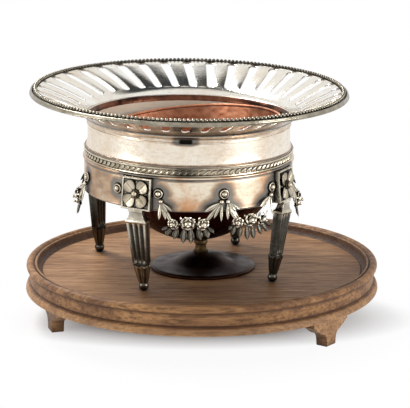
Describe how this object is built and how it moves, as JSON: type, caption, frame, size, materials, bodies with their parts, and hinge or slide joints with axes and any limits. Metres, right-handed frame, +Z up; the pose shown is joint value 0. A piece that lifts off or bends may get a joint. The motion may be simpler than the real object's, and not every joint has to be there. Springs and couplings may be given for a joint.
{
  "type": "table brazier",
  "caption": "Round table brazier: silver frame with a flared pierced flange on fluted legs with garlands, loose footed copper ember pan, turned wooden stand.",
  "frame": {"origin": "on the axis of the round wooden stand, at the level of the table under its feet", "axes": "+Z up; +X to the right and -Y to the front as the object stands in the picture"},
  "size_m": [0.3586, 0.3586, 0.2432],
  "materials": {
    "silver_sheet": "silver plated sheet, polished, softly scratched and warm with age",
    "silver_cast": "silver plated castings, polished high spots with dark tarnish in the recesses",
    "copper": "beaten copper, bright orange inside and dark red-brown outside",
    "dark_copper": "spun copper with a nearly black brown patina",
    "brass": "dull brass with a greenish edge of solder",
    "wood": "oiled hardwood, matt, open grained, worn and darkened in the grooves"
  },
  "bodies": {
    "stand": {"stand_board": "wood", "stand_rim": "wood", "stand_foot_1": "wood", "stand_foot_2": "wood", "stand_foot_3": "wood"},
    "frame": {"flange": "silver_sheet", "bead_border": "silver_sheet", "neck": "silver_sheet", "leaf_moulding": "silver_cast", "band": "silver_sheet", "leg_front_left": "silver_cast", "leg_front_right": "silver_cast", "leg_back_right": "silver_cast", "leg_back_left": "silver_cast", "rosette_front_left": "silver_cast", "rosette_front_right": "silver_cast", "rosette_back_right": "silver_cast", "rosette_back_left": "silver_cast", "leg_nut_front_left": "brass", "leg_nut_front_right": "brass", "leg_nut_back_right": "brass", "leg_nut_back_left": "brass", "stud_front_1": "silver_cast", "stud_front_2": "silver_cast", "stud_front_3": "silver_cast", "stud_right_1": "silver_cast", "stud_right_2": "silver_cast", "stud_right_3": "silver_cast", "stud_back_1": "silver_cast", "stud_back_2": "silver_cast", "stud_back_3": "silver_cast", "stud_left_1": "silver_cast", "stud_left_2": "silver_cast", "stud_left_3": "silver_cast", "garland_front_1": "silver_cast", "garland_front_2": "silver_cast", "garland_right_1": "silver_cast", "garland_right_2": "silver_cast", "garland_back_1": "silver_cast", "garland_back_2": "silver_cast", "garland_left_1": "silver_cast"},
    "pan": {"pan_bowl": "copper", "pan_rim": "copper", "pan_stem": "brass", "pan_foot": "dark_copper"}
  },
  "joints": [
    {"name": "frame_lift", "type": "slide", "parent": "stand", "child": "frame", "axis": [0, 0, 1], "range_m": [0, 0.2]},
    {"name": "pan_lift", "type": "slide", "parent": "frame", "child": "pan", "axis": [0, 0, 1], "range_m": [0, 0.2]}
  ]
}
